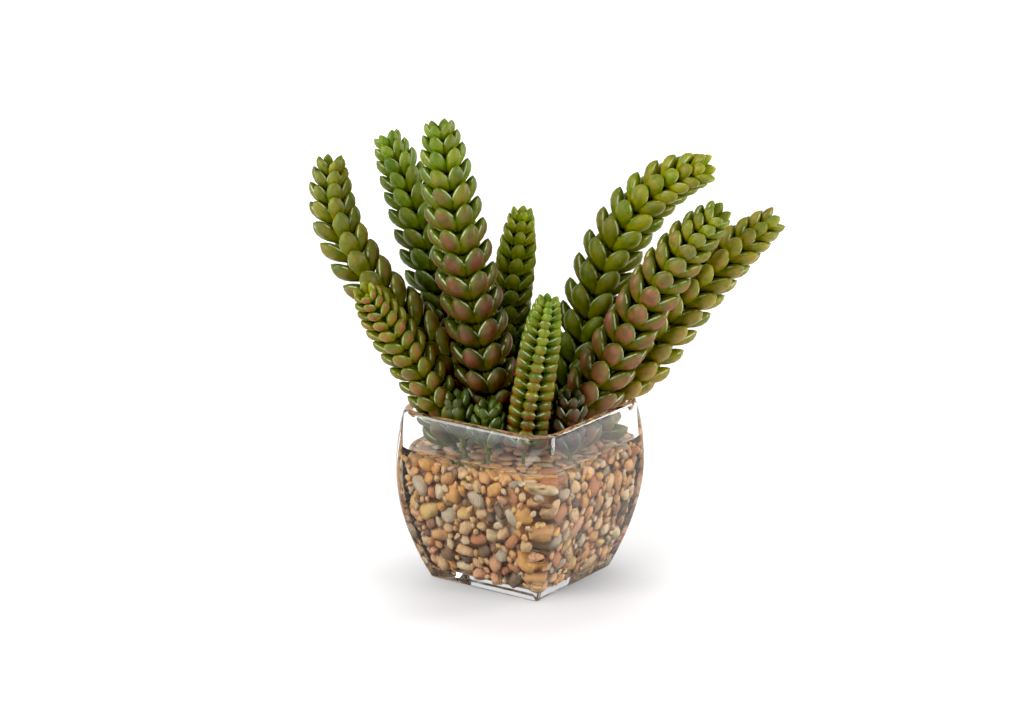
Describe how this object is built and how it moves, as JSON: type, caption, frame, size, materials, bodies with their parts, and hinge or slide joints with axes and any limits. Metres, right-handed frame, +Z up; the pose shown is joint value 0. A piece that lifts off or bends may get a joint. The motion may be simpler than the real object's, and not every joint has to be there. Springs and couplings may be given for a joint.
{
  "type": "potted burros tail plant",
  "caption": "Potted burro's tail: upright stems of plump green leaves set in river pebbles and clear resin in a square glass pot with bowed sides.",
  "frame": {"origin": "centre of the pot's flat underside", "axes": "+Z up out of the pot's mouth, X and Y square to the pot's four sides; the lime stem stands in the +X -Y corner"},
  "size_m": [0.195, 0.1627, 0.2375],
  "materials": {
    "clear_glass": "polished",
    "clear_resin": "cast clear, wet look",
    "river_pebble": "tumbled, satin",
    "stalk_green": "moulded",
    "leaf_green": "moulded, satin with a mauve blush"
  },
  "bodies": {
    "root": {"glass_pot": "clear_glass", "pebble_bed": "river_pebble", "clear_resin": "clear_resin", "pebble_01": "river_pebble", "pebble_02": "river_pebble", "pebble_03": "river_pebble", "pebble_04": "river_pebble", "pebble_05": "river_pebble", "pebble_06": "river_pebble", "pebble_07": "river_pebble", "pebble_08": "river_pebble", "pebble_09": "river_pebble", "pebble_10": "river_pebble", "pebble_11": "river_pebble", "pebble_12": "river_pebble", "stalk_front_lime": "stalk_green", "leaves_front_lime_lower": "leaf_green", "leaves_front_lime_upper": "leaf_green", "stalk_front_left": "stalk_green", "leaves_front_left_lower": "leaf_green", "leaves_front_left_upper": "leaf_green", "stalk_centre_tall": "stalk_green", "leaves_centre_tall_lower": "leaf_green", "leaves_centre_tall_upper": "leaf_green", "stalk_right_middle": "stalk_green", "leaves_right_middle_lower": "leaf_green", "leaves_right_middle_upper": "leaf_green", "stalk_left_tall": "stalk_green", "leaves_left_tall_lower": "leaf_green", "leaves_left_tall_upper": "leaf_green", "stalk_right_tall": "stalk_green", "leaves_right_tall_lower": "leaf_green", "leaves_right_tall_upper": "leaf_green", "stalk_right_outer": "stalk_green", "leaves_right_outer_lower": "leaf_green", "leaves_right_outer_upper": "leaf_green", "stalk_back_short": "stalk_green", "leaves_back_short_lower": "leaf_green", "leaves_back_short_upper": "leaf_green", "stalk_back_left": "stalk_green", "leaves_back_left_lower": "leaf_green", "leaves_back_left_upper": "leaf_green", "stalk_filler_left": "stalk_green", "leaves_filler_left": "leaf_green", "stalk_filler_middle": "stalk_green", "leaves_filler_middle": "leaf_green", "stalk_filler_right": "stalk_green", "leaves_filler_right": "leaf_green", "stalk_filler_rim": "stalk_green", "leaves_filler_rim": "leaf_green"}
  },
  "joints": []
}
